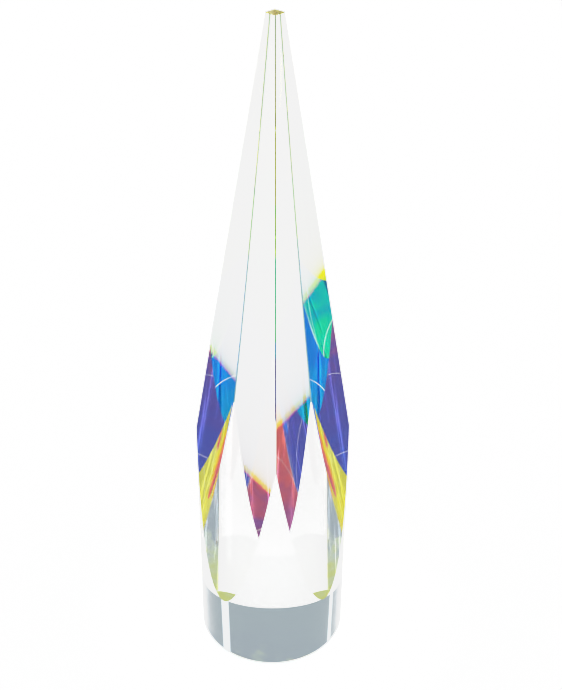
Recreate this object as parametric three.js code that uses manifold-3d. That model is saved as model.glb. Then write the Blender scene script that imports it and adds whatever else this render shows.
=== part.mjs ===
// Crystal spire award: a solid optical-crystal cylinder whose upper part is cut by four flat facets
// into a tall square spire. The underside of the crystal carries an iridescent coating, and a thin
// clear pad is stuck under the coating so that the award can slide on a shelf without scratching it.
//
// Millimetres, +Z up. The origin is the centre of the face that the award stands on. The spire's four
// long edges point along -Y, +X, +Y and -X, so each facet faces halfway between two of those axes.

import * as THREE from "three";
import { mergeVertices } from "three/addons/utils/BufferGeometryUtils.js";
import Module from "manifold-3d";

// ---- driving dimensions --------------------------------------------------------------------------

const BODY_RADIUS = 30; // polished crystal bar stock
const CRYSTAL_HEIGHT = 263; // underside of the crystal to its flat tip
const FACET_FOOT = 28.4; // height above the underside at which each facet first cuts the cylinder
const FACET_SLOPE = 0.1181; // how far a facet leans in for each unit of height
const RIM_CHAMFER = 0.2; // polished chamfer round the underside

const PAD_THICKNESS = 0.5;
const PAD_INSET = 1.5; // from the cylinder wall to the pad's edge
const ADHESIVE_THICKNESS = 0.15;
const ADHESIVE_INSET = 2.0;
const COATING_THICKNESS = 0.15; // the thin-film stack and the lacquer that backs it
const LAYER_GAP = 0.05; // clearance between neighbouring layers

const ROUND_SEGMENTS = 128;
const CUTTER_MARGIN = 10; // how far the facet cutter runs past the crystal at both ends

// ---- levels, counted up from the standing face ----------------------------------------------------

const PAD_BOTTOM = 0;
const ADHESIVE_BOTTOM = PAD_BOTTOM + PAD_THICKNESS + LAYER_GAP;
const COATING_BOTTOM = ADHESIVE_BOTTOM + ADHESIVE_THICKNESS + LAYER_GAP;
const CRYSTAL_BOTTOM = COATING_BOTTOM + COATING_THICKNESS + LAYER_GAP;

// ---- helpers -------------------------------------------------------------------------------------

const wasm = await Module();
wasm.setup();

function toSolid(geometry) {
  const bare = geometry.clone();
  bare.deleteAttribute("normal");
  bare.deleteAttribute("uv");
  const merged = mergeVertices(bare);
  return new wasm.Manifold(
    new wasm.Mesh({
      numProp: 3,
      vertProperties: new Float32Array(merged.attributes.position.array),
      triVerts: new Uint32Array(merged.index.array),
    })
  );
}

function toGeometry(solid) {
  const { vertProperties, triVerts } = solid.getMesh();
  const geometry = new THREE.BufferGeometry();
  geometry.setAttribute("position", new THREE.BufferAttribute(vertProperties, 3));
  geometry.setIndex(new THREE.BufferAttribute(triVerts, 1));
  geometry.computeVertexNormals();
  return geometry;
}

// A body of revolution about +Z from [radius, height] points that start and end on the axis.
function turned(profile) {
  const points = profile.map(([radius, height]) => new THREE.Vector2(radius, height));
  return new THREE.LatheGeometry(points, ROUND_SEGMENTS).rotateX(Math.PI / 2);
}

function disc(radius, thickness) {
  return turned([
    [0, 0],
    [radius, 0],
    [radius, thickness],
    [0, thickness],
  ]);
}

function namedMesh(name, geometry, material, height) {
  const mesh = new THREE.Mesh(geometry, material);
  mesh.name = name;
  mesh.position.z = height;
  return mesh;
}

// ---- crystal: a chamfered cylinder, cut by a square pyramid -----------------------------------------

function crystalGeometry() {
  const cylinder = turned([
    [0, 0],
    [BODY_RADIUS - RIM_CHAMFER, 0],
    [BODY_RADIUS, RIM_CHAMFER],
    [BODY_RADIUS, CRYSTAL_HEIGHT],
    [0, CRYSTAL_HEIGHT],
  ]);

  // Distance from the axis to a facet's plane, and from there to the corner of its square section.
  const facetDistance = (height) => BODY_RADIUS + FACET_SLOPE * (FACET_FOOT - height);
  const cornerDistance = (height) => facetDistance(height) * Math.SQRT2;

  const low = -CUTTER_MARGIN;
  const high = CRYSTAL_HEIGHT + CUTTER_MARGIN;
  const pyramid = new THREE.CylinderGeometry(cornerDistance(high), cornerDistance(low), high - low, 4)
    .rotateX(Math.PI / 2)
    .translate(0, 0, (high + low) / 2);

  return toGeometry(toSolid(cylinder).intersect(toSolid(pyramid)));
}

// ---- materials -----------------------------------------------------------------------------------

const clearCrystal = new THREE.MeshStandardMaterial({
  color: 0xf4f8fa,
  roughness: 0.02,
  metalness: 0,
});
const iridescentCoating = new THREE.MeshStandardMaterial({
  color: 0x3f8fd0,
  roughness: 0.1,
  metalness: 0.9,
});
const clearAdhesive = new THREE.MeshStandardMaterial({
  color: 0xeef0ee,
  roughness: 0.35,
  metalness: 0,
});
const clearPad = new THREE.MeshStandardMaterial({
  color: 0xe6e9ea,
  roughness: 0.45,
  metalness: 0,
});

// ---- assembly ------------------------------------------------------------------------------------

const award = new THREE.Group();
award.add(
  namedMesh("crystal_spire", crystalGeometry(), clearCrystal, CRYSTAL_BOTTOM),
  namedMesh(
    "iridescent_coating",
    disc(BODY_RADIUS - RIM_CHAMFER, COATING_THICKNESS),
    iridescentCoating,
    COATING_BOTTOM
  ),
  namedMesh(
    "pad_adhesive",
    disc(BODY_RADIUS - ADHESIVE_INSET, ADHESIVE_THICKNESS),
    clearAdhesive,
    ADHESIVE_BOTTOM
  ),
  namedMesh("base_pad", disc(BODY_RADIUS - PAD_INSET, PAD_THICKNESS), clearPad, PAD_BOTTOM)
);

export default award;
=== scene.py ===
# Crystal spire award: fine meshes, optical materials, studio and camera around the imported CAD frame.
from math import cos, pi, radians, sin, sqrt

import bmesh
import bpy
from mathutils import Euler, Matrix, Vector


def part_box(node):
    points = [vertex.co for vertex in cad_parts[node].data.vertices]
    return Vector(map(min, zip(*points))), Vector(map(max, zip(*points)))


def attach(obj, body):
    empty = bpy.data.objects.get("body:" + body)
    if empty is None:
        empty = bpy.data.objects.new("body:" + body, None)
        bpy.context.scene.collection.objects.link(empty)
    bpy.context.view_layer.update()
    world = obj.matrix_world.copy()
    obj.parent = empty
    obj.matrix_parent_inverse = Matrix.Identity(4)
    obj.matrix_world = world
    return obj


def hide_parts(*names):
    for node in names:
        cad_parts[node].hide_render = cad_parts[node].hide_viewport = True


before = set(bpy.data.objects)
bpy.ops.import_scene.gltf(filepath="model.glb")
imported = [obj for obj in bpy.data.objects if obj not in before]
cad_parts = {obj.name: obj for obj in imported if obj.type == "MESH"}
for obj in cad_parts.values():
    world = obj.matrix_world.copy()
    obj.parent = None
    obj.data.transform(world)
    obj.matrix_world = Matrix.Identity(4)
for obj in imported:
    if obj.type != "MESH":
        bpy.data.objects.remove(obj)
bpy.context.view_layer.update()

MM = 0.001

# ---- sizes, in metres -----------------------------------------------------------------------------

CRYSTAL_LOW, CRYSTAL_HIGH = (Vector(corner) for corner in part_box("crystal_spire"))
COATING_LOW = Vector(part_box("iridescent_coating")[0])
ADHESIVE_LOW, ADHESIVE_HIGH = (Vector(corner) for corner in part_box("pad_adhesive"))
PAD_LOW, PAD_HIGH = (Vector(corner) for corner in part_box("base_pad"))

RADIUS = CRYSTAL_HIGH.x
BASE_Z = CRYSTAL_LOW.z
TIP_Z = CRYSTAL_HIGH.z
FACET_FOOT = 28.4 * MM  # above the underside
FACET_SLOPE = 0.1181  # how far a facet leans in for each unit of height
BACK_TWIST = 0.3  # degrees that each rear facet is ground off square, towards the other
RIM_CHAMFER = 0.035 * MM
EDGE_FLAT = 0.5 * MM  # width of the eased flat along each long edge
REAR_EDGE_FLAT = 0.6 * MM
TIP_FLAT = 0.3 * MM  # the same round the top
ROUND_SEGMENTS = 720
UNCOATED_RIM = 0.12 * MM  # bare ring left around the coating
COATING_BITE = 0.05 * MM  # the coating's mirror face lies this far inside the crystal's skin
COATING_EASE = 0.01 * MM
ADHESIVE_EASE = 0.03 * MM
PAD_EASE = 0.1 * MM


# ---- mesh helpers ---------------------------------------------------------------------------------

# Face tags: polished flats, the cylinder wall, its chamfer, the eased edges, and the rear one of these.
FLAT, ROUND_WALL, ROUND_RIM, EASED, EASED_REAR = range(5)


def object_from(name, mesh):
    piece = bpy.data.objects.new(name, mesh)
    bpy.context.collection.objects.link(piece)
    return piece


def ring(bm, radius, height, count):
    return [
        bm.verts.new((radius * cos(2 * pi * i / count), radius * sin(2 * pi * i / count), height))
        for i in range(count)
    ]


def bridge(bm, lower, upper):
    """Quads between two rings of equal length; returns the new faces."""
    count = len(lower)
    return [
        bm.faces.new((lower[i], lower[(i + 1) % count], upper[(i + 1) % count], upper[i]))
        for i in range(count)
    ]


def grind(bm, point, normal, tag=FLAT):
    """Cuts away everything on the outer side of a plane and closes the cut with one flat face."""
    geometry = bm.verts[:] + bm.edges[:] + bm.faces[:]
    cut = bmesh.ops.bisect_plane(
        bm, geom=geometry, dist=1e-8, plane_co=point, plane_no=normal, clear_outer=True
    )
    rim = [item for item in cut["geom_cut"] if isinstance(item, bmesh.types.BMEdge)]
    closed = bmesh.ops.contextual_create(bm, geom=rim)
    for face in closed["faces"]:
        face[bm.faces.layers.int["kind"]] = tag


def facet_direction(index):
    """Level direction that a facet faces. Facets 0 and 3 are the front pair, 1 and 2 the rear pair."""
    twist = {1: BACK_TWIST, 2: -BACK_TWIST}.get(index, 0.0)
    angle = radians(-45 + 90 * index + twist)
    return Vector((cos(angle), sin(angle), 0))


def facet_plane(index):
    facing = facet_direction(index)
    point = facing * RADIUS + Vector((0, 0, BASE_Z + FACET_FOOT))
    normal = (facing + Vector((0, 0, FACET_SLOPE))).normalized()
    return point, normal


def facet_distance(height):
    return RADIUS + FACET_SLOPE * (BASE_Z + FACET_FOOT - height)


def grind_long_edge(bm, index):
    """A narrow polished flat along the spire edge between one facet and the next."""
    (point, first), (_, second) = facet_plane(index), facet_plane((index + 1) % 4)
    outward = (first + second).normalized()
    along = first.cross(second).normalized()
    # A point on the edge: both facet planes meet there.
    level = facet_direction(index) + facet_direction((index + 1) % 4)
    corner = level.normalized() * facet_distance(TIP_Z) * sqrt(2) + Vector((0, 0, TIP_Z))
    width, tag = (REAR_EDGE_FLAT, EASED_REAR) if index == 1 else (EDGE_FLAT, EASED)
    grind(bm, corner - outward * width / 2, outward, tag)


def smooth_round_faces(mesh, tags):
    """Exact normals: radial on the wall, conical on the rim, flat on every ground face."""
    normals = [None] * len(mesh.loops)
    for polygon, tag in zip(mesh.polygons, tags):
        for loop_index in polygon.loop_indices:
            place = mesh.vertices[mesh.loops[loop_index].vertex_index].co
            radial = Vector((place.x, place.y, 0)).normalized()
            if tag == ROUND_WALL:
                normals[loop_index] = radial
            elif tag == ROUND_RIM:
                normals[loop_index] = (radial - Vector((0, 0, 1))).normalized()
            else:
                normals[loop_index] = polygon.normal.copy()
        polygon.use_smooth = True
    mesh.normals_split_custom_set(normals)


# ---- node helpers ---------------------------------------------------------------------------------


def new_material(name):
    material = bpy.data.materials.new(name)
    material.use_nodes = True
    material.node_tree.nodes.clear()
    return material, material.node_tree.nodes, material.node_tree.links


def linear(colour):
    """Display values from 0 to 1 turned into scene light."""
    return tuple(c / 12.92 if c <= 0.04045 else ((c + 0.055) / 1.055) ** 2.4 for c in colour) + (1.0,)


def math_node(nodes, links, operation, *values):
    node = nodes.new("ShaderNodeMath")
    node.operation = operation
    for socket, value in zip(node.inputs, values):
        if isinstance(value, (int, float)):
            socket.default_value = value
        else:
            links.new(value, socket)
    return node.outputs[0]


# ---- materials ------------------------------------------------------------------------------------

# Refractive index of the crystal for red, green and blue light. It sets how much of each a face mirrors,
# and was chosen for where the coloured patches begin.
CRYSTAL_INDEX = (1.5016, 1.5024, 1.5052)
# Share of the reflection off the outside that is kept where it is weak. It is chosen, not worked out from
# physics.
OUTER_SHEEN = 0.12
# Mirrored share at which the sheen starts to rise, and at which it is whole.
WEAK_MIRROR, STRONG_MIRROR = 0.06, 0.36
# How much red, green and blue light passes the polished faces and the eased edges. On the eased edges the tone
# is painted shade with a green cast, which darkens them into lines, the rear edge most.
POLISHED_TONE = (1, 1, 1)
EDGE_TONE_PAINTED_SHADE = (0.64, 0.66, 0.58)
REAR_EDGE_TONE_PAINTED_SHADE = (0.22, 0.30, 0.22)
EDGE_ROUGHNESS = 0.05


def crystal_material(name, tone, roughness):
    """Optical crystal. Each colour turns to total reflection at its own angle. A tone below white is painted
    shade.
    """
    material, nodes, links = new_material(name)
    output = nodes.new("ShaderNodeOutputMaterial")
    mirrored = nodes.new("ShaderNodeCombineColor")
    for socket, index in zip(mirrored.inputs, CRYSTAL_INDEX):
        fresnel = nodes.new("ShaderNodeFresnel")
        fresnel.inputs["IOR"].default_value = index
        links.new(fresnel.outputs[0], socket)
    passed = nodes.new("ShaderNodeInvert")
    links.new(mirrored.outputs[0], passed.inputs["Color"])
    bend = nodes.new("ShaderNodeBsdfRefraction")
    bend.inputs["Roughness"].default_value = roughness
    bend.inputs["IOR"].default_value = min(CRYSTAL_INDEX)
    through = nodes.new("ShaderNodeVectorMath")
    through.operation = "MULTIPLY"
    links.new(passed.outputs[0], through.inputs[0])
    through.inputs[1].default_value = tone
    links.new(through.outputs["Vector"], bend.inputs["Color"])
    gloss = nodes.new("ShaderNodeBsdfGlossy")
    gloss.inputs["Roughness"].default_value = 0.0
    side = nodes.new("ShaderNodeNewGeometry")
    grazing = nodes.new("ShaderNodeMapRange")
    grazing.inputs["From Min"].default_value = WEAK_MIRROR
    grazing.inputs["From Max"].default_value = STRONG_MIRROR
    grazing.inputs["To Min"].default_value = OUTER_SHEEN
    links.new(mirrored.inputs["Red"].links[0].from_socket, grazing.inputs["Value"])
    kept = nodes.new("ShaderNodeMapRange")
    links.new(grazing.outputs["Result"], kept.inputs["To Min"])
    links.new(side.outputs["Backfacing"], kept.inputs["Value"])
    sheen = nodes.new("ShaderNodeVectorMath")
    sheen.operation = "SCALE"
    links.new(mirrored.outputs[0], sheen.inputs[0])
    links.new(kept.outputs["Result"], sheen.inputs["Scale"])
    links.new(sheen.outputs["Vector"], gloss.inputs["Color"])
    both = nodes.new("ShaderNodeAddShader")
    links.new(bend.outputs[0], both.inputs[0])
    links.new(gloss.outputs[0], both.inputs[1])
    links.new(both.outputs[0], output.inputs["Surface"])
    return material


# What the coating reflects, by the angle in degrees at which light meets it inside the crystal. Chosen one by
# one.
COATING_HUES = (
    (0, (0.86, 0.82, 0.54)),
    (10, (0.84, 0.81, 0.42)),
    (19, (0.84, 0.90, 0.14)),
    (25, (0.42, 0.92, 0.42)),
    (30, (0.05, 0.92, 0.68)),
    (33, (0.08, 0.66, 0.84)),
    (36, (0.09, 0.54, 0.93)),
    (41, (0.25, 0.48, 0.90)),
    (44, (0.30, 0.37, 0.73)),
    (46, (0.35, 0.35, 0.69)),
    (47.2, (0.39, 0.35, 0.67)),
    (48.5, (0.63, 0.37, 0.56)),
    (50, (0.79, 0.40, 0.45)),
    (52, (0.92, 0.44, 0.39)),
    (53.2, (0.95, 0.70, 0.23)),
    (54.2, (0.93, 0.84, 0.18)),
    (55.5, (0.86, 0.84, 0.23)),
    (57.3, (0.85, 0.86, 0.38)),
    (58.7, (0.83, 0.88, 0.56)),
    (59.8, (0.81, 0.87, 0.80)),
    (60.5, (0.68, 0.73, 0.765)),
    (61.6, (0.695, 0.75, 0.775)),
    (66, (0.68, 0.73, 0.765)),
    (90, (0.80, 0.82, 0.84)),
)
FILM_UNEVENNESS = 0.06  # as a change in one less the cosine of the angle


def coating_material():
    """A metallic mirror that stands for the thin film: its hue changes with the angle of incidence."""
    material, nodes, links = new_material("iridescent_coating")
    output = nodes.new("ShaderNodeOutputMaterial")
    mirror = nodes.new("ShaderNodeBsdfPrincipled")
    mirror.inputs["Metallic"].default_value = 1.0
    mirror.inputs["Roughness"].default_value = 0.0
    tilt = nodes.new("ShaderNodeLayerWeight")
    tilt.inputs["Blend"].default_value = 0.5
    ramp = nodes.new("ShaderNodeValToRGB")
    ramp.color_ramp.interpolation = "LINEAR"
    stops = ramp.color_ramp.elements
    while len(stops) > 1:
        stops.remove(stops[-1])
    stops[0].position = 0.0
    stops[0].color = linear(COATING_HUES[0][1])
    for angle, hue in COATING_HUES[1:]:
        stops.new(1 - cos(radians(angle))).color = linear(hue)
    # The film is not quite even, so each hue comes a little early or late from place to place.
    place = nodes.new("ShaderNodeTexCoord")
    mottle = nodes.new("ShaderNodeTexNoise")
    mottle.inputs["Scale"].default_value = 110.0
    mottle.inputs["Detail"].default_value = 5.0
    mottle.inputs["Roughness"].default_value = 0.6
    links.new(place.outputs["Object"], mottle.inputs["Vector"])
    centred = math_node(nodes, links, "SUBTRACT", mottle.outputs["Fac"], 0.5)
    shift = math_node(nodes, links, "MULTIPLY", centred, FILM_UNEVENNESS)
    links.new(math_node(nodes, links, "ADD", tilt.outputs["Facing"], shift), ramp.inputs["Fac"])
    links.new(ramp.outputs["Color"], mirror.inputs["Base Color"])
    links.new(mirror.outputs["BSDF"], output.inputs["Surface"])
    return material


ROUGHNESS_SPREAD = 0.08


def pale_film_material(name, tone, roughness, grain):
    """Pale opaque film with a fine uneven gloss."""
    material, nodes, links = new_material(name)
    output = nodes.new("ShaderNodeOutputMaterial")
    film = nodes.new("ShaderNodeBsdfPrincipled")
    film.inputs["Base Color"].default_value = linear(tone)
    place = nodes.new("ShaderNodeTexCoord")
    noise = nodes.new("ShaderNodeTexNoise")
    noise.inputs["Scale"].default_value = grain
    noise.inputs["Detail"].default_value = 4.0
    spread = nodes.new("ShaderNodeMapRange")
    spread.inputs["To Min"].default_value = roughness - ROUGHNESS_SPREAD
    spread.inputs["To Max"].default_value = roughness + ROUGHNESS_SPREAD
    links.new(place.outputs["Object"], noise.inputs["Vector"])
    links.new(noise.outputs["Fac"], spread.inputs["Value"])
    links.new(spread.outputs["Result"], film.inputs["Roughness"])
    links.new(film.outputs["BSDF"], output.inputs["Surface"])
    return material


# ---- pieces ---------------------------------------------------------------------------------------


def adopt(piece, material, node):
    """Gives a new piece its material and lets it stand for a CAD node."""
    piece.data.materials.clear()
    piece.data.materials.append(material)
    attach(piece, "root")
    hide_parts(node)


def make_crystal():
    bm = bmesh.new()
    tag = bm.faces.layers.int.new("kind")
    base = ring(bm, RADIUS - RIM_CHAMFER, BASE_Z, ROUND_SEGMENTS)
    rim = ring(bm, RADIUS, BASE_Z + RIM_CHAMFER, ROUND_SEGMENTS)
    top = ring(bm, RADIUS, TIP_Z, ROUND_SEGMENTS)
    bm.faces.new(list(reversed(base)))
    for face in bridge(bm, base, rim):
        face[tag] = ROUND_RIM
    for face in bridge(bm, rim, top):
        face[tag] = ROUND_WALL
    bm.faces.new(top)
    for index in range(4):
        grind(bm, *facet_plane(index))
    for index in range(4):
        grind_long_edge(bm, index)
    for index in range(4):
        outward = (facet_direction(index) + Vector((0, 0, 1))).normalized()
        edge = facet_direction(index) * facet_distance(TIP_Z) + Vector((0, 0, TIP_Z))
        grind(bm, edge - outward * TIP_FLAT / 2, outward)
    bmesh.ops.recalc_face_normals(bm, faces=bm.faces[:])
    tags = [face[tag] for face in bm.faces]
    mesh = bpy.data.meshes.new("crystal_spire_fine")
    bm.to_mesh(mesh)
    bm.free()
    smooth_round_faces(mesh, tags)
    piece = object_from("crystal", mesh)
    adopt(piece, crystal_material("optical_crystal", POLISHED_TONE, 0.0), "crystal_spire")
    # The eased edges get darker, greenish tones: painted shade that draws them as dark lines.
    mesh.materials.append(crystal_material("eased_crystal_edge", EDGE_TONE_PAINTED_SHADE, EDGE_ROUGHNESS))
    mesh.materials.append(crystal_material("rear_crystal_edge", REAR_EDGE_TONE_PAINTED_SHADE, EDGE_ROUGHNESS))
    for polygon, face_tag in zip(mesh.polygons, tags):
        polygon.material_index = {EASED: 1, EASED_REAR: 2}.get(face_tag, 0)


def make_disc(name, low, high, ease):
    """A flat disc with eased rims between two corners of a box."""
    radius = high.x
    bm = bmesh.new()
    levels = (
        (radius - ease, low.z),
        (radius, low.z + ease),
        (radius, high.z - ease),
        (radius - ease, high.z),
    )
    rings = [ring(bm, r, z, ROUND_SEGMENTS // 2) for r, z in levels]
    bm.faces.new(list(reversed(rings[0])))
    for lower, upper in zip(rings, rings[1:]):
        bridge(bm, lower, upper)
    bm.faces.new(rings[-1])
    mesh = bpy.data.meshes.new(name)
    bm.to_mesh(mesh)
    bm.free()
    return object_from(name, mesh)


def make_base_layers():
    coating_reach = RADIUS - UNCOATED_RIM
    coating_top = Vector((coating_reach, coating_reach, BASE_Z + COATING_BITE))
    coating = make_disc("coating", COATING_LOW, coating_top, COATING_EASE)
    adopt(coating, coating_material(), "iridescent_coating")
    adhesive = make_disc("adhesive", ADHESIVE_LOW, ADHESIVE_HIGH, ADHESIVE_EASE)
    adopt(
        adhesive,
        pale_film_material("clear_adhesive", (0.93, 0.94, 0.93), 0.35, 900),
        "pad_adhesive",
    )
    pad = make_disc("pad", PAD_LOW, PAD_HIGH, PAD_EASE)
    adopt(pad, pale_film_material("clear_pad", (0.90, 0.91, 0.92), 0.45, 600), "base_pad")


# ---- studio ---------------------------------------------------------------------------------------


FLOOR_HALF_WIDTH = 6.0
GLOW_WITH_PAINTED_POOL, GLOW_FAR = 1.64, 1.54  # the floor's glow close to the award, raised by a painted pool of light that fills the award's shade, and its even glow away from it
PAINTED_POOL_REACH, PAINTED_POOL_FADE_END = 1.6 * RADIUS, 3.0 * RADIUS


def make_floor():
    """A glossy white acrylic sheet, lit from below as well as by the room; a painted pool of light brightens
    it around the award.
    """
    bm = bmesh.new()
    bmesh.ops.create_grid(bm, x_segments=8, y_segments=8, size=FLOOR_HALF_WIDTH)
    mesh = bpy.data.meshes.new("floor")
    bm.to_mesh(mesh)
    bm.free()
    floor = object_from("floor", mesh)
    material, nodes, links = new_material("white_acrylic")
    output = nodes.new("ShaderNodeOutputMaterial")
    acrylic = nodes.new("ShaderNodeBsdfPrincipled")
    acrylic.inputs["Base Color"].default_value = (0.80, 0.80, 0.80, 1)
    acrylic.inputs["Roughness"].default_value = 0.03
    acrylic.inputs["IOR"].default_value = 1.5
    acrylic.inputs["Emission Color"].default_value = (1, 1, 1, 1)
    place = nodes.new("ShaderNodeTexCoord")
    reach = nodes.new("ShaderNodeVectorMath")
    reach.operation = "LENGTH"
    links.new(place.outputs["Object"], reach.inputs[0])
    # Painted light: the glow is raised close to the award, a pool that fills the award's shade on the floor.
    glow_with_painted_pool = nodes.new("ShaderNodeMapRange")
    glow_with_painted_pool.interpolation_type = "SMOOTHSTEP"
    glow_with_painted_pool.inputs["From Min"].default_value = PAINTED_POOL_REACH
    glow_with_painted_pool.inputs["From Max"].default_value = PAINTED_POOL_FADE_END
    glow_with_painted_pool.inputs["To Min"].default_value = GLOW_WITH_PAINTED_POOL
    glow_with_painted_pool.inputs["To Max"].default_value = GLOW_FAR
    links.new(reach.outputs["Value"], glow_with_painted_pool.inputs["Value"])
    links.new(glow_with_painted_pool.outputs["Result"], acrylic.inputs["Emission Strength"])
    links.new(acrylic.outputs["BSDF"], output.inputs["Surface"])
    mesh.materials.append(material)


SKY_LIGHT = 0.82
HORIZON_LIGHT = 2.35  # about as bright as the floor, so that the two meet without an edge
HORIZON_TOP, SKY_START = 4, 9  # degrees up
STRIP_LIGHT = 2.4  # added to the sky
STRIPS = ((137, 3.8), (-122, 2.6))  # azimuth and half width in degrees
STRIP_MIDDLE, STRIP_HALF_HEIGHT = 44, 5  # degrees up
STRIP_SOFTNESS = 1.0


def make_world():
    """A white studio, brightest at the horizon, with two small soft lights high behind the award."""
    world = bpy.data.worlds.new("studio")
    bpy.context.scene.world = world
    world.use_nodes = True
    nodes, links = world.node_tree.nodes, world.node_tree.links
    nodes.clear()
    output = nodes.new("ShaderNodeOutputWorld")
    background = nodes.new("ShaderNodeBackground")
    place = nodes.new("ShaderNodeTexCoord")
    axes = nodes.new("ShaderNodeSeparateXYZ")
    links.new(place.outputs["Generated"], axes.inputs[0])
    backwards = math_node(nodes, links, "MULTIPLY", axes.outputs["Y"], -1.0)
    azimuth = math_node(nodes, links, "ARCTAN2", axes.outputs["X"], backwards)
    elevation = math_node(nodes, links, "ARCSINE", axes.outputs["Z"])

    def window(value, centre, half_width):
        offset = math_node(nodes, links, "SUBTRACT", value, radians(centre))
        distance = math_node(nodes, links, "ABSOLUTE", offset)
        shape = nodes.new("ShaderNodeMapRange")
        shape.interpolation_type = "SMOOTHSTEP"
        shape.inputs["From Min"].default_value = radians(half_width + STRIP_SOFTNESS)
        shape.inputs["From Max"].default_value = radians(half_width)
        links.new(distance, shape.inputs["Value"])
        return shape.outputs["Result"]

    horizon = nodes.new("ShaderNodeMapRange")
    horizon.interpolation_type = "SMOOTHSTEP"
    horizon.inputs["From Min"].default_value = radians(HORIZON_TOP)
    horizon.inputs["From Max"].default_value = radians(SKY_START)
    horizon.inputs["To Min"].default_value = HORIZON_LIGHT
    horizon.inputs["To Max"].default_value = SKY_LIGHT
    links.new(elevation, horizon.inputs["Value"])
    light = horizon.outputs["Result"]
    for centre, half_width in STRIPS:
        across = window(azimuth, centre, half_width)
        upright = window(elevation, STRIP_MIDDLE, STRIP_HALF_HEIGHT)
        strip = math_node(nodes, links, "MULTIPLY", across, upright)
        bright = math_node(nodes, links, "MULTIPLY", strip, STRIP_LIGHT)
        light = math_node(nodes, links, "ADD", bright, light)
    background.inputs["Color"].default_value = (1, 1, 1, 1)
    links.new(light, background.inputs["Strength"])
    links.new(background.outputs[0], output.inputs["Surface"])


# ---- camera ---------------------------------------------------------------------------------------

CAMERA_DISTANCE = 12.54 * RADIUS  # level, from the axis of the award
CAMERA_HEIGHT = 12.66 * RADIUS + BASE_Z
SENSOR = 36.0  # mm
LENS = 62.2435  # mm
LENS_RISE = 0.096087  # shift of the picture, as a share of the sensor
TURN, PITCH, PAN, ROLL = radians(-2.0), radians(35.76), radians(0.47), radians(0.57)


def make_camera():
    """Looks down at the award from in front, its front edge turned a little off the line of sight."""
    data = bpy.data.cameras.new("camera")
    data.sensor_fit = "AUTO"
    data.sensor_width = SENSOR
    data.lens = LENS
    data.shift_y = LENS_RISE
    camera = bpy.data.objects.new("camera", data)
    bpy.context.collection.objects.link(camera)
    camera.location = (CAMERA_DISTANCE * sin(TURN), -CAMERA_DISTANCE * cos(TURN), CAMERA_HEIGHT)
    camera.rotation_mode = "XYZ"
    look = Euler((pi / 2 - PITCH, 0, TURN - PAN), "XYZ").to_matrix()
    spin = Euler((0, 0, ROLL), "XYZ").to_matrix()
    camera.rotation_euler = (look @ spin).to_euler("XYZ")
    data.clip_start = 0.01
    data.clip_end = 50.0
    bpy.context.scene.camera = camera


# ---- tone and light paths -------------------------------------------------------------------------

# Tone curve: scene light against what is shown. Highlights flatten to pale grey, then step up to white.
WHITEST = 2.5
TONE_STOPS = (
    (0, 0),
    (0.3, 0.3),
    (0.6, 0.6),
    (0.9, 0.81),
    (1.1, 0.85),
    (1.4, 0.875),
    (1.75, 0.89),
    (2.0, 0.905),
    (2.2, 0.99),
    (2.27, 1),
    (2.5, 1),
)


def set_tone():
    view = bpy.context.scene.view_settings
    view.view_transform = "Standard"
    view.use_curve_mapping = True
    view.curve_mapping.white_level = (WHITEST, WHITEST, WHITEST)
    points = view.curve_mapping.curves[3].points
    for light, shown in TONE_STOPS[1:-1]:
        points.new(light / WHITEST, shown)
    for point, (light, shown) in zip(points, TONE_STOPS):
        point.location = (light / WHITEST, shown)
        point.handle_type = "AUTO_CLAMPED"
    view.curve_mapping.update()


def set_light_paths():
    """Light crosses the crystal many times, so its paths are long."""
    cycles = bpy.context.scene.cycles
    cycles.max_bounces = 40
    cycles.transmission_bounces = 40
    cycles.glossy_bounces = 40
    cycles.diffuse_bounces = 4
    cycles.denoising_input_passes = "RGB"


make_camera()
make_floor()
make_world()
make_crystal()
make_base_layers()
set_tone()
set_light_paths()
